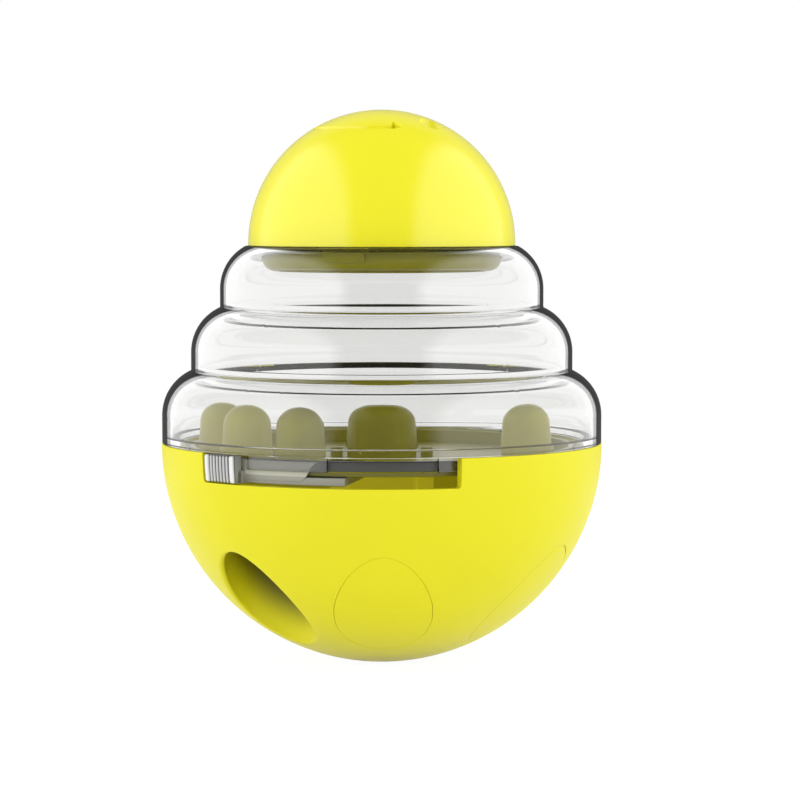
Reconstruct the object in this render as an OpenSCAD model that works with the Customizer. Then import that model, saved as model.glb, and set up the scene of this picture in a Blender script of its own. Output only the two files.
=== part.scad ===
// Treat dispensing ball: a weighted round base, a clear stepped chamber and a domed cap.
// The origin is the middle of the flat foot, and +Z runs up the ball's axis.
// Azimuths are in degrees from +X, and -Y is the front.

/* [Base] */
// Radius of the round base
ball_r = 50; // [48:0.5:54]
// Height of the whole toy
total_h = 125; // [122:0.5:135]
// Radius of the flat foot
foot_r = 6; // [5:0.5:8]
// Wall of the yellow mouldings
wall = 2.4; // [2.2:0.1:2.8]
// Wall of the base round the straight seat below its rim
seat_wall = 2.7; // [2.5:0.1:2.8]
// Depth of that seat
seat_depth = 6.6; // [6.5:0.1:7.5]
// Depth of the window in the rim
window_depth = 6.9; // [6.8:0.1:7.4]
// Azimuth where the window starts
window_start = 218.5; // [215:0.5:222]
// Angle that the window spans
window_span = 71.5; // [65:0.5:75]

/* [Outlets] */
// Radius of the outlets, as a share of the ball's radius
outlet_share = 0.216; // [0.18:0.002:0.222]
// Distance of the outlets from the axis, as a share of the ball's radius
outlet_ring_share = 0.684; // [0.67:0.002:0.698]
// Azimuth of the open outlet
outlet_azimuth = 223; // [218:1:228]
// Wall of the outlet's tube
tube_wall = 1.6; // [1.2:0.1:2]
// Distance of the tube's mouth below the window
tube_drop = 10.7; // [9.8:0.1:16]
// Azimuth of the front plug
plug_front_azimuth = 270.5; // [268:0.5:276]
// Azimuth of the right plug
plug_right_azimuth = 332; // [320:1:340]
// Clearance round a plug's disc
plug_gap = 0.12; // [0.08:0.01:0.2]
// Width of a plug's inner flange
plug_flange_w = 1.4; // [1:0.1:1.8]
// Thickness of that flange
plug_flange_t = 1.2; // [0.8:0.1:1.6]
// Height of a plug's upper edge above its hole's edge on the inside
plug_lip = 1.4; // [0.8:0.1:3]

/* [Ballast] */
// Thickness of the steel weight
weight_t = 9; // [7:0.1:10]
// Height of the weight above the inside of the base's wall at its edge
weight_lift = 0.6; // [0.4:0.1:1.2]
// Clearance round the weight
weight_gap = 0.3; // [0.2:0.05:0.4]
// Wall of the weight's pocket
pocket_wall = 1.8; // [1.4:0.1:2]
// Gap between the pocket and the outlet's tube
pocket_gap = 0.7; // [0.5:0.1:2]
// Distance of the cover's screws outside the pocket
ear_reach = 1.9; // [1.7:0.1:2.3]
// Azimuth of the first cover screw
cover_screw_azimuth = 301.25; // [298:0.25:304]
// Thickness of the cover
cover_t = 2; // [1.6:0.1:2.4]
// Outer radius of the column
column_r = 8; // [7.5:0.1:8.4]
// Wall of the column
column_wall = 2; // [1.6:0.1:2.4]

/* [Tray] */
// Height of the tray's underside below the base's rim
tray_drop = 4.3; // [4.2:0.1:4.6]
// Thickness of the tray's floor
floor_t = 1.1; // [1:0.1:1.3]
// Width of the flange outside the tray's rim, which carries the shutter's ring
flange_w = 1; // [0.8:0.1:1.2]
// Wall of the tray's rim
rim_t = 1.2; // [0.9:0.1:1.5]
// Height of the tray's rim above its floor
rim_h = 3; // [2.4:0.1:3.2]
// Azimuth where the rim is left open at the front
rim_open_start = 251; // [250:0.5:258]
// Angle that this opening spans
rim_open_span = 67; // [50:0.5:68]
// Radius of a peg at its foot
peg_r = 5.7; // [5:0.1:6]
// Height of the pegs above the tray's floor
peg_h = 13.2; // [10:0.1:13.6]
// Radius of the centre post at its foot
post_r = 8.2; // [7.8:0.1:8.6]
// Height of the collar under the post
collar_h = 1.9; // [1.5:0.1:2.2]
// Setback of the collar from the post
collar_setback = 0.3; // [0.1:0.1:0.5]
// Narrowing of a peg or post toward its top
taper = 0.5; // [0.2:0.1:0.8]
// Gap between a peg and the tray's rim
peg_rim_gap = 0.4; // [0.2:0.1:0.8]
// Inner radius of the tray's aperture
aperture_in_r = 13.5; // [13:0.1:15]
// Width left between the aperture and the pegs
aperture_web = 1.6; // [1.2:0.1:4]
// Azimuth where the aperture starts
aperture_start = 223; // [222:0.5:226]
// Angle that the aperture spans
aperture_span = 33; // [26:0.5:34]

/* [Shutter] */
// Radial width of the shutter's ring
ring_w = 1.8; // [1.6:0.1:1.9]
// Height of the ring
ring_h = 2.2; // [1.8:0.1:2.3]
// Thickness of the gate plate
gate_t = 1.8; // [1.4:0.1:1.8]
// Angle that the gate spans
gate_span = 39.5; // [37:0.5:42]
// Angle that the skirt between the ring and the gate spans
skirt_span = 27; // [22:0.5:34]
// Angle that the thumb tab spans
tab_span = 10.8; // [9:0.1:12]
// Number of ribs on the tab
rib_count = 7; // [5:1:8]
// Width of a groove between two ribs
groove_w = 0.6; // [0.4:0.05:0.7]
// Depth of that groove
groove_depth = 0.6; // [0.4:0.05:0.8]
// Clearance between the pieces that turn or lift past each other
slip_gap = 0.3; // [0.25:0.01:0.35]

/* [Clear shell] */
// Wall of the clear shell
clear_wall = 2; // [1.8:0.1:2.2]
// Number of steps
tier_count = 3; // [2:1:3]
// Radius that the dome stands out past the last step's line
dome_lead = 0.2; // [0:0.1:0.6]
// Radius of each step's shoulder
shoulder_r = 11; // [10:0.1:12]
// Height of the first shoulder's centre above the rim
first_shoulder_h = 6.3; // [5:0.1:8]
// Width of the shell's edge outside the dome
neck_lip = 0.66; // [0.2:0.02:0.9]
// Setback of the shell from the ball's edge
shell_setback = 0.1; // [0:0.05:0.2]
// Thickness of the shell's foot flange
shell_foot_t = 1.6; // [1.2:0.1:2]
// Thickness of the lugs that hang inside the base's rim
lug_t = 1; // [0.9:0.05:1.1]
// Angle that each hanging lug spans
lug_span = 24; // [20:1:24]
// Thickness of the neck's flange
neck_t = 1.4; // [1.2:0.1:1.8]

/* [Cap] */
// Radius of the dome
dome_r = 30.3; // [29.8:0.1:30.5]
// Wall of the dome
dome_wall = 2.2; // [2:0.1:2.4]
// Thickness of the seal
seal_t = 0.5; // [0.4:0.05:0.8]
// Setback of the liner from the dome's edge
liner_setback = 3.1; // [3.1:0.1:3.5]
// Wall of the liner
liner_wall = 1.8; // [1.5:0.1:2]
// Depth of the liner below the dome's edge
liner_depth = 5.5; // [5:0.1:6.5]
// Height of the liner above the dome's edge
liner_h = 3.4; // [3:0.1:3.8]
// Thickness of the liner's inner flange
liner_flange_t = 1.6; // [1.2:0.1:2]
// Width of that flange
liner_flange_w = 7; // [6.8:0.1:8]
// Height of a bayonet lug on the liner
bayonet_h = 2; // [1.6:0.1:2.2]
// Distance that a bayonet lug stands out of the liner
bayonet_w = 1.8; // [1.4:0.1:1.8]
// Angle that a bayonet lug spans
bayonet_span = 18; // [12:1:20]
// Azimuth of the first bayonet lug
bayonet_azimuth = 253.5; // [248:0.5:258]
// Distance of the dome's arc groove from the axis
arc_ring_r = 15.7; // [14.5:0.1:16.5]
// Azimuth where the arc groove starts
arc_start = 187; // [180:1:195]
// Angle that the arc groove spans
arc_span = 94; // [80:1:100]
// Width of the arc groove
arc_w = 1.2; // [0.8:0.1:1.6]
// Depth of the arc groove
arc_depth = 1; // [0.6:0.1:1.4]
// Size of the notches at the groove's ends, from centre to corner
notch_r = 1.9; // [1.4:0.1:2.2]
// Distance of the dome's round hole from the axis
dome_hole_ring_r = 14.3; // [13:0.1:15]
// Azimuth of the round hole
dome_hole_azimuth = 322; // [318:1:330]
// Radius of the round hole
dome_hole_r = 1.8; // [1.5:0.1:2]
// Radius of its countersink
countersink_r = 2.9; // [2.5:0.1:3.2]
// Depth of its countersink
countersink_depth = 1.1; // [0.8:0.1:1.4]

/* [Screws] */
// Radius of a screw's shank
shank_r = 1.25; // [1.1:0.05:1.3]
// Radius of a screw's head
head_r = 2.3; // [2.1:0.1:2.5]
// Height of a screw's head
head_h = 1.5; // [1.3:0.1:1.7]
// Length of a screw's shank
shank_l = 7.5; // [6.5:0.1:8]
// Clearance of a shank in its hole
screw_gap = 0.05; // [0.03:0.01:0.08]
// Width of the slot in a screw's head
slot_w = 0.7; // [0.5:0.05:0.8]
// Depth of that slot
slot_depth = 0.7; // [0.5:0.05:0.8]

/* [Hidden] */
$fn = 96;

yellow = "#f2ee2c";
tray_colour = "#d9d52a";
grey = "#a4a4b4";

// One overrun serves every cut
cut = 1;
turn_angle = 360;

// Base: the ball's centre stands a little lower than its radius, because the foot is cut flat
rim_z = sqrt(pow(ball_r, 2) - pow(foot_r, 2));
ball_in_r = ball_r - wall;
outlet_r = ball_r * outlet_share;
outlet_ring_r = ball_r * outlet_ring_share;
seat_r = ball_r - seat_wall;
seat_z = rim_z - seat_depth;
window_z = rim_z - window_depth;
tube_top = window_z - tube_drop;
plug_r = outlet_r - plug_gap;
plug_top = rim_z - sqrt(pow(ball_in_r, 2) - pow(outlet_ring_r + outlet_r, 2)) + plug_lip;
flange_in_r = ball_in_r - plug_flange_t;

// Ballast and column
cover_r = outlet_ring_r - outlet_r - tube_wall - pocket_gap;
pocket_r = cover_r - pocket_wall;
weight_r = pocket_r - weight_gap;
weight_z = rim_z - sqrt(pow(ball_in_r, 2) - pow(pocket_r, 2)) + weight_lift;
pocket_top = weight_z + weight_t + weight_gap;
cover_top = pocket_top + cover_t;
cover_screw_ring_r = cover_r + ear_reach;
cover_screw_count = 3;
cover_screw_pitch = turn_angle / cover_screw_count;
boss_wall = 1.8;
boss_r = shank_r + screw_gap + boss_wall;
screw_tip_gap = 1;
column_lug_r = 11.8;
column_lug_w = 2.4;
column_lug_h = 2.8;
column_lug_drop = 3.9;
column_roof_t = 2;
column_boss_l = 9.5;

// Tray
tray_z = rim_z - tray_drop;
floor_z = tray_z + floor_t;
ring_out_r = seat_r - slip_gap - lug_t - slip_gap;
ring_in_r = ring_out_r - ring_w;
tray_r = ring_in_r - slip_gap;
flange_r = tray_r + flange_w;
peg_ring_r = tray_r - rim_t - peg_rim_gap - peg_r;
aperture_out_r = peg_ring_r - peg_r - aperture_web;
peg_azimuths = [192, 216, 241, 331];
peg_round_share = 0.72;
peg_wall = 1.7;
post_wall = 1.6;
hub_gap = 0.1;
hub_h = 3.4;
hub_floor_t = 1.2;
block_gap = 0.7;
block_in_r = post_r + block_gap;
block_r = 11.6;
block_w = 2.4;
block_h = 1.9;

// Shutter
ring_lift = 0.1;
gate_gap = 0.2;
gate_in_r = 12;
gate_lead = 1.4;
skirt_t = 0.7;
skirt_setback = 0.05;
skirt_lead = 1;
tab_in_r = seat_r;
tab_edge_angle = 0.6;
tab_head_gap = 0.3;
tab_foot_gap = 0.4;
arm_h = 2.7;
gate_z = tray_z - gate_gap - gate_t;
ring_z = floor_z + ring_lift;
tab_start = window_start + tab_edge_angle;
gate_start = tab_start + gate_lead;

// Clear shell
shell_r = ball_r - shell_setback;
tier_step = (shell_r - dome_r + dome_lead) / tier_count;
last_tier_r = dome_r - dome_lead + tier_step;
neck_z = total_h - dome_r - seal_t;
neck_reach = dome_r + neck_lip - last_tier_r + shoulder_r;
first_shoulder_z = rim_z + first_shoulder_h;
last_shoulder_z = neck_z - sqrt(pow(shoulder_r, 2) - pow(neck_reach, 2));
tier_pitch = (last_shoulder_z - first_shoulder_z) / (tier_count - 1);
lug_in_r = ring_out_r + slip_gap;
liner_r = dome_r - liner_setback;
lug_out_r = lug_in_r + lug_t;
lug_depth = 3.3;
lug_starts = [51.5, 105, 231.5, 285];
lug_gaps = [
    for (i = [0:len(lug_starts) - 1])
        (i + 1 < len(lug_starts) ? lug_starts[i + 1] : lug_starts[0] + turn_angle) - lug_starts[i] - lug_span
];
neck_bore_r = liner_r + slip_gap;
notch_angle = 2;

// Cap
dome_z = total_h - dome_r;
dome_in_r = dome_r - dome_wall;
bayonet_gap = 0.2;
bayonet_top = neck_z - neck_t - bayonet_gap;
seal_in_gap = 0.3;
seal_r = dome_r - seal_in_gap;
cap_screw_count = 3;
cap_screw_ring_r = liner_r - liner_wall - head_r - slip_gap;
cap_screw_azimuth = 30;
cap_screw_pitch = turn_angle / cap_screw_count;
dome_boss_gap = 0.1;

// A solid ring, or a stretch of one, between two radii and two heights
module ring(r_in, r_out, z_low, z_high, start = 0, span = turn_angle) {
    rotate([0, 0, start])
        rotate_extrude(angle = span)
            translate([r_in, z_low])
                square([r_out - r_in, z_high - z_low]);
}

module disc(r, z_low, z_high) {
    translate([0, 0, z_low])
        cylinder(r = r, h = z_high - z_low);
}

// Moves its children out from the axis along an azimuth
module at(azimuth, r, z = 0) {
    rotate([0, 0, azimuth])
        translate([r, 0, z])
            children();
}

module ball(r) {
    translate([0, 0, rim_z])
        sphere(r = r);
}

// A screw with its head's underside at the origin
module pan_screw() {
    difference() {
        cylinder(r = head_r, h = head_h);
        translate([-head_r - cut, -slot_w / 2, head_h - slot_depth])
            cube([2 * (head_r + cut), slot_w, slot_depth + cut]);
    }
    translate([0, 0, -shank_l])
        cylinder(r = shank_r, h = shank_l + head_h / 2);
}

// A round-topped peg that narrows toward its top
module thimble(r, h, z) {
    top_r = r - taper;
    round_r = top_r * peg_round_share;
    side_h = h - round_r;
    translate([0, 0, z]) {
        cylinder(r1 = r, r2 = top_r, h = side_h);
        rotate_extrude()
            intersection() {
                union() {
                    translate([top_r - round_r, side_h])
                        circle(r = round_r);
                    square([top_r - round_r, h]);
                }
                translate([0, side_h])
                    square([top_r, round_r]);
            }
    }
}

// Base shell

module base_solid() {
    intersection() {
        ball(ball_r);
        disc(ball_r + cut, 0, rim_z);
    }
}

module base_hollow() {
    intersection() {
        ball(ball_in_r);
        disc(ball_r, 0, rim_z + cut);
    }
    disc(seat_r, seat_z, rim_z + cut);
}

// The outline that the weight's pocket and its cover share: a round with three ears for the screws
module cover_outline() {
    circle(r = cover_r);
    for (i = [0:cover_screw_count - 1])
        at(cover_screw_azimuth + i * cover_screw_pitch, cover_screw_ring_r)
            circle(r = boss_r);
}

module base_inside() {
    intersection() {
        children();
        ball(ball_in_r + wall / 2);
    }
}

module base_shell() {
    color(yellow)
        difference() {
            union() {
                difference() {
                    base_solid();
                    base_hollow();
                }
                base_inside() {
                    union() {
                        at(outlet_azimuth, outlet_ring_r)
                            disc(outlet_r + tube_wall, 0, tube_top);
                        linear_extrude(height = pocket_top)
                            difference() {
                                cover_outline();
                                circle(r = pocket_r);
                            }
                        disc(pocket_r + pocket_wall / 2, 0, weight_z);
                    }
                }
            }
            for (azimuth = [outlet_azimuth, plug_front_azimuth, plug_right_azimuth])
                at(azimuth, outlet_ring_r)
                    disc(outlet_r, -cut, seat_z);
            for (i = [0:cover_screw_count - 1])
                at(cover_screw_azimuth + i * cover_screw_pitch, cover_screw_ring_r)
                    disc(shank_r + screw_gap, cover_top - shank_l - screw_tip_gap, pocket_top + cut);
            ring(tray_r, ball_r + cut, window_z, rim_z + cut, window_start, window_span);
        }
}

// A flush disc that follows the ball, with a wider flange against the inside of the wall
module outlet_plug(azimuth) {
    color(yellow)
        difference() {
            union() {
                intersection() {
                    base_solid();
                    at(azimuth, outlet_ring_r)
                        disc(plug_r, 0, plug_top);
                }
                intersection() {
                    ball(ball_in_r);
                    at(azimuth, outlet_ring_r)
                        disc(outlet_r + plug_flange_w, 0, plug_top);
                }
            }
            ball(flange_in_r);
        }
}

module outlet_plug_front() {
    outlet_plug(plug_front_azimuth);
}

module outlet_plug_right() {
    outlet_plug(plug_right_azimuth);
}

// Ballast and the column on its cover

module ballast_weight() {
    color("#8d9095")
        disc(weight_r, weight_z, weight_z + weight_t);
}

module ballast_cover() {
    color(yellow)
        difference() {
            union() {
                translate([0, 0, pocket_top])
                    linear_extrude(height = cover_t)
                        cover_outline();
                disc(column_r, pocket_top, tray_z);
                for (azimuth = [0, turn_angle / 2])
                    rotate([0, 0, azimuth])
                        translate([0, -column_lug_w / 2, tray_z - column_lug_drop - column_lug_h])
                            cube([column_lug_r, column_lug_w, column_lug_h]);
            }
            difference() {
                disc(column_r - column_wall, pocket_top - cut, tray_z - column_roof_t);
                disc(boss_r, tray_z - column_boss_l, tray_z);
            }
            disc(shank_r + screw_gap, tray_z - column_boss_l - cut, tray_z + cut);
            for (i = [0:cover_screw_count - 1])
                at(cover_screw_azimuth + i * cover_screw_pitch, cover_screw_ring_r)
                    disc(shank_r + screw_gap, pocket_top - cut, cover_top + cut);
        }
}

module cover_screws() {
    color("silver")
        for (i = [0:cover_screw_count - 1])
            at(cover_screw_azimuth + i * cover_screw_pitch, cover_screw_ring_r, cover_top)
                pan_screw();
}

// Tray with its pegs, and the post over its screw

module tray_hub() {
    hub_r = post_r - taper - post_wall;
    difference() {
        disc(hub_r - hub_gap, floor_z - floor_t / 2, floor_z + hub_h);
        disc(head_r + slip_gap, tray_z + hub_floor_t, floor_z + hub_h + cut);
    }
}

module treat_tray() {
    color(tray_colour)
        difference() {
            union() {
                disc(flange_r, tray_z, floor_z);
                ring(tray_r - rim_t, tray_r, floor_z - floor_t / 2, floor_z + rim_h,
                    rim_open_start + rim_open_span, turn_angle - rim_open_span);
                for (azimuth = peg_azimuths)
                    at(azimuth, peg_ring_r)
                        thimble(peg_r, peg_h + floor_t / 2, floor_z - floor_t / 2);
                tray_hub();
                for (azimuth = [0, turn_angle / 2])
                    rotate([0, 0, azimuth])
                        translate([block_in_r, -block_w / 2, floor_z - floor_t / 2])
                            cube([block_r - block_in_r, block_w, block_h + floor_t / 2]);
            }
            for (azimuth = peg_azimuths)
                at(azimuth, peg_ring_r)
                    disc(peg_r - peg_wall - taper, tray_z - cut, floor_z + peg_h / 2);
            disc(head_r + slip_gap, tray_z + hub_floor_t, floor_z + cut);
            disc(shank_r + screw_gap, tray_z - cut, floor_z + cut);
            ring(aperture_in_r, aperture_out_r, tray_z - cut, floor_z + cut, aperture_start, aperture_span);
        }
}

module centre_post() {
    hollow_r = post_r - taper - post_wall;
    color(tray_colour)
        difference() {
            union() {
                disc(post_r - collar_setback, floor_z, floor_z + collar_h + cut);
                thimble(post_r, peg_h - collar_h, floor_z + collar_h);
            }
            disc(hollow_r, floor_z - cut, floor_z + peg_h / 2);
        }
}

module post_screw() {
    color("silver")
        translate([0, 0, tray_z + hub_floor_t])
            pan_screw();
}

// Shutter: a ring that rides on the tray's flange, a gate under the tray and a thumb tab

module thumb_tab() {
    rib_pitch = tab_span / rib_count;
    difference() {
        intersection() {
            union() {
                ring(tab_in_r, ball_r, window_z + tab_foot_gap, rim_z - tab_head_gap, tab_start, tab_span);
                ring(ring_out_r - skirt_t / 2, tab_in_r + cut, gate_z, gate_z + arm_h, tab_start, tab_span);
            }
            ball(ball_r);
        }
        for (i = [0:rib_count - 1])
            at(tab_start + (i + 1 / 2) * rib_pitch, ball_r - groove_depth, window_z)
                translate([0, -groove_w / 2, 0])
                    cube([groove_depth + cut, groove_w, window_depth]);
    }
}

module shutter_gate() {
    color(grey)
        union() {
            ring(ring_in_r, ring_out_r, ring_z, ring_z + ring_h);
            ring(gate_in_r, ring_out_r, gate_z, gate_z + gate_t, gate_start, gate_span);
            ring(ring_out_r - skirt_t, ring_out_r - skirt_setback, gate_z + gate_t / 2, ring_z + ring_h / 2,
                gate_start + skirt_lead, skirt_span);
            thumb_tab();
        }
}

// Clear shell: steps with round shoulders over a foot flange with hanging lugs

module tiers_2d(inset, z_low) {
    for (i = [0:tier_count - 1]) {
        out_r = shell_r - i * tier_step;
        centre_z = first_shoulder_z + i * tier_pitch;
        intersection() {
            translate([out_r - shoulder_r, centre_z])
                circle(r = shoulder_r - inset);
            translate([out_r - shoulder_r, centre_z])
                square([shoulder_r, shoulder_r]);
        }
        translate([0, z_low])
            square([out_r - inset, centre_z - z_low]);
        translate([0, z_low])
            square([out_r - shoulder_r, centre_z + shoulder_r - inset - z_low]);
    }
}

module clear_profile() {
    difference() {
        tiers_2d(0, rim_z);
        tiers_2d(clear_wall, rim_z - cut);
        translate([0, neck_z])
            square([shell_r, shoulder_r]);
        translate([0, last_shoulder_z])
            square([neck_bore_r, shoulder_r]);
    }
    translate([lug_in_r, rim_z])
        square([shell_r - lug_in_r, shell_foot_t]);
    translate([lug_in_r, rim_z - lug_depth])
        square([lug_t, lug_depth + shell_foot_t]);
    translate([neck_bore_r, neck_z - neck_t])
        square([dome_r - neck_bore_r, neck_t]);
}

module clear_shell() {
    color("#dfe6ea", 0.4)
        difference() {
            rotate_extrude()
                clear_profile();
            for (i = [0:len(lug_starts) - 1])
                ring(lug_in_r - cut, lug_out_r + cut, rim_z - lug_depth - cut, rim_z,
                    lug_starts[i] + lug_span, lug_gaps[i]);
            for (turn = [0, turn_angle / 2])
                ring(neck_bore_r - slip_gap, liner_r + bayonet_w + slip_gap, bayonet_top - bayonet_h,
                    neck_z + cut, bayonet_azimuth + turn - bayonet_span / 2 - notch_angle,
                    bayonet_span + 2 * notch_angle);
        }
}

// Cap: dome, liner with bayonet lugs, and the seal under the dome's edge

module cap_seal() {
    color("#55585c")
        ring(neck_bore_r, seal_r, neck_z, dome_z);
}

module cap_liner() {
    flange_z = dome_z + liner_h - liner_flange_t;
    color(yellow)
        difference() {
            union() {
                ring(liner_r - liner_wall, liner_r, dome_z - liner_depth, dome_z + liner_h);
                ring(liner_r - liner_flange_w, liner_r - liner_wall / 2, flange_z, dome_z + liner_h);
                for (turn = [0, turn_angle / 2])
                    ring(liner_r - liner_wall / 2, liner_r + bayonet_w, bayonet_top - bayonet_h, bayonet_top,
                        bayonet_azimuth + turn - bayonet_span / 2, bayonet_span);
            }
            for (i = [0:cap_screw_count - 1])
                at(cap_screw_azimuth + i * cap_screw_pitch, cap_screw_ring_r)
                    disc(shank_r + screw_gap, flange_z - cut, dome_z + liner_h + cut);
        }
}

module cap_screws() {
    flange_z = dome_z + liner_h - liner_flange_t;
    color("silver")
        for (i = [0:cap_screw_count - 1])
            at(cap_screw_azimuth + i * cap_screw_pitch, cap_screw_ring_r, flange_z)
                mirror([0, 0, 1])
                    pan_screw();
}

module dome_bosses() {
    for (i = [0:cap_screw_count - 1])
        at(cap_screw_azimuth + i * cap_screw_pitch, cap_screw_ring_r)
            disc(boss_r, dome_z + liner_h + dome_boss_gap, total_h);
}

module dome_marks() {
    // The arc groove is cut only to its depth, and its end notches go through
    difference() {
        ring(arc_ring_r - arc_w / 2, arc_ring_r + arc_w / 2, dome_z, total_h + cut, arc_start, arc_span);
        translate([0, 0, dome_z])
            sphere(r = dome_r - arc_depth);
    }
    for (azimuth = [arc_start, arc_start + arc_span])
        at(azimuth, arc_ring_r, dome_z + dome_r / 2)
            rotate([0, 0, turn_angle / 2])
                cylinder(r = notch_r, h = dome_r, $fn = 3);
    rotate([0, 0, dome_hole_azimuth])
        translate([0, 0, dome_z])
            rotate([0, asin(dome_hole_ring_r / dome_r), 0]) {
                translate([0, 0, dome_r / 2])
                    cylinder(r = dome_hole_r, h = dome_r);
                translate([0, 0, dome_r - countersink_depth])
                    cylinder(r1 = dome_hole_r, r2 = countersink_r, h = countersink_depth);
            }
}

module cap_dome() {
    color(yellow)
        difference() {
            union() {
                difference() {
                    translate([0, 0, dome_z])
                        sphere(r = dome_r);
                    translate([0, 0, dome_z])
                        sphere(r = dome_in_r);
                }
                intersection() {
                    dome_bosses();
                    translate([0, 0, dome_z])
                        sphere(r = dome_r - dome_wall / 2);
                }
            }
            disc(dome_r + cut, dome_z - dome_r - cut, dome_z);
            for (i = [0:cap_screw_count - 1])
                at(cap_screw_azimuth + i * cap_screw_pitch, cap_screw_ring_r)
                    disc(shank_r + screw_gap, dome_z,
                        dome_z + liner_h - liner_flange_t + shank_l + screw_tip_gap);
            dome_marks();
        }
}

base_shell();
outlet_plug_front();
outlet_plug_right();
ballast_weight();
ballast_cover();
cover_screws();
treat_tray();
centre_post();
post_screw();
shutter_gate();
clear_shell();
cap_seal();
cap_liner();
cap_screws();
cap_dome();
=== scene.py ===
import math

import bmesh
import bpy
from mathutils import Matrix, Vector


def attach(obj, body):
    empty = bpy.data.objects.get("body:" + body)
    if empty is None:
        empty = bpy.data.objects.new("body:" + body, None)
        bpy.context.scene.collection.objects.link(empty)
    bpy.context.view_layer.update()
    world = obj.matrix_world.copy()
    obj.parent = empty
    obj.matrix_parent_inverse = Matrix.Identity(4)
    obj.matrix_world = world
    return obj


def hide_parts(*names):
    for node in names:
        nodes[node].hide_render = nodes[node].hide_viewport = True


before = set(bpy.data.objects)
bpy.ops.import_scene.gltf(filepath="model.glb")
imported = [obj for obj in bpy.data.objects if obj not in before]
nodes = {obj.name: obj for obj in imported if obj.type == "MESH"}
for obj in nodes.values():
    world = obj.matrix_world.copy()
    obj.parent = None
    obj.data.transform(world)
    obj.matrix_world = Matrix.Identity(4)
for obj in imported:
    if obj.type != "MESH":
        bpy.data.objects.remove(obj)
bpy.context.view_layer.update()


# Camera: a long lens a little above the clear chamber, looking slightly down at the ball.
# Its distance, height and tilt are the ones that give the photograph's view.

MM = 0.001
picture_px, focal_px, sensor_width = 800, 3106, 36
stand_off, eye_height = 706, 103
tilt_down, turn_right = 3.556, 0.336

lens_data = bpy.data.cameras.new("lens")
lens_data.sensor_width = sensor_width
lens_data.lens = sensor_width * focal_px / picture_px
lens_data.clip_start, lens_data.clip_end = 0.01, 20
camera = bpy.data.objects.new("camera", lens_data)
bpy.context.scene.collection.objects.link(camera)
camera.location = (0, -stand_off * MM, eye_height * MM)
camera.rotation_euler = (math.radians(90 - tilt_down), 0, math.radians(-turn_right))
bpy.context.scene.camera = camera
bpy.context.scene.view_settings.view_transform = "Standard"


# Studio: white paper under and behind the toy, a bright wall at each side and a darker gap between
# them where the camera stands, which leaves the broad pale bands and the grey middle on the shell.

class Wire:
    """A shader socket on which Python arithmetic adds Math nodes."""

    def __init__(self, tree, socket):
        self.tree, self.socket = tree, socket

    def maths(self, operation, *values):
        fresh = self.tree.nodes.new("ShaderNodeMath")
        fresh.operation = operation
        for place, value in zip(fresh.inputs, values):
            plug(self.tree, place, value)
        return Wire(self.tree, fresh.outputs[0])

    def __add__(self, other): return self.maths("ADD", self, other)
    def __radd__(self, other): return self.maths("ADD", other, self)
    def __sub__(self, other): return self.maths("SUBTRACT", self, other)
    def __rsub__(self, other): return self.maths("SUBTRACT", other, self)
    def __mul__(self, other): return self.maths("MULTIPLY", self, other)
    def __rmul__(self, other): return self.maths("MULTIPLY", other, self)
    def __gt__(self, other): return self.maths("GREATER_THAN", self, other)
    def __abs__(self): return self.maths("ABSOLUTE", self)


def plug(tree, place, value):
    if isinstance(value, Wire):
        tree.links.new(value.socket, place)
    else:
        place.default_value = value


class Finish:
    """A node tree, and the one method, node, that adds any node but a Math node to it."""

    def __init__(self, owner):
        owner.use_nodes = True
        self.tree = owner.node_tree
        self.tree.nodes.clear()

    def node(self, kind, settings=None, values=None, out=0):
        fresh = self.tree.nodes.new(kind)
        for name, value in (settings or {}).items():
            setattr(fresh, name, value)
        for name, value in (values or {}).items():
            plug(self.tree, fresh.inputs[name], value)
        return Wire(self.tree, fresh.outputs[out]) if fresh.outputs else fresh

    def step(self, value, low, high):
        """Rises smoothly from 0 to 1 while value goes from low to high."""
        return self.node("ShaderNodeMapRange", {"interpolation_type": "SMOOTHSTEP"},
                         {0: value, 1: low, 2: high, 3: 0.0, 4: 1.0})

    def mixed(self, mask, first, second):
        """A colour that goes from first to second with the mask. Each is a colour or another mix."""
        first, second = (colour if isinstance(colour, Wire) else (*colour, 1)
                         for colour in (first, second))
        return self.node("ShaderNodeMix", {"data_type": "RGBA"},
                         {"Factor": mask, 6: first, 7: second}, out=2)

    def surface(self, shader):
        self.node("ShaderNodeOutputMaterial", values={"Surface": shader})


def srgb(red, green, blue):
    """Turns a colour as seen on a screen, 0 to 255, into the linear one that shaders use."""
    steps = [c / 255 for c in (red, green, blue)]
    return tuple(c / 12.92 if c <= 0.04045 else ((c + 0.055) / 1.055) ** 2.4 for c in steps)


# Where the bright side walls and the white back begin and are full, as shares of a ray's direction
side_from, side_full = 0.36, 0.58
back_from, back_full = 0.50, 0.75
# What lights the faces, what they mirror, and what reaches them through the clear chamber
room_light, wall_light, roof_light = 0.64, 0.82, 0.20
gap_image, wall_image, back_image, sharp_back_image = 0.12, 1.13, 0.40, 0.80
inside_light, inside_wall_light = 0.30, 0.14

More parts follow.
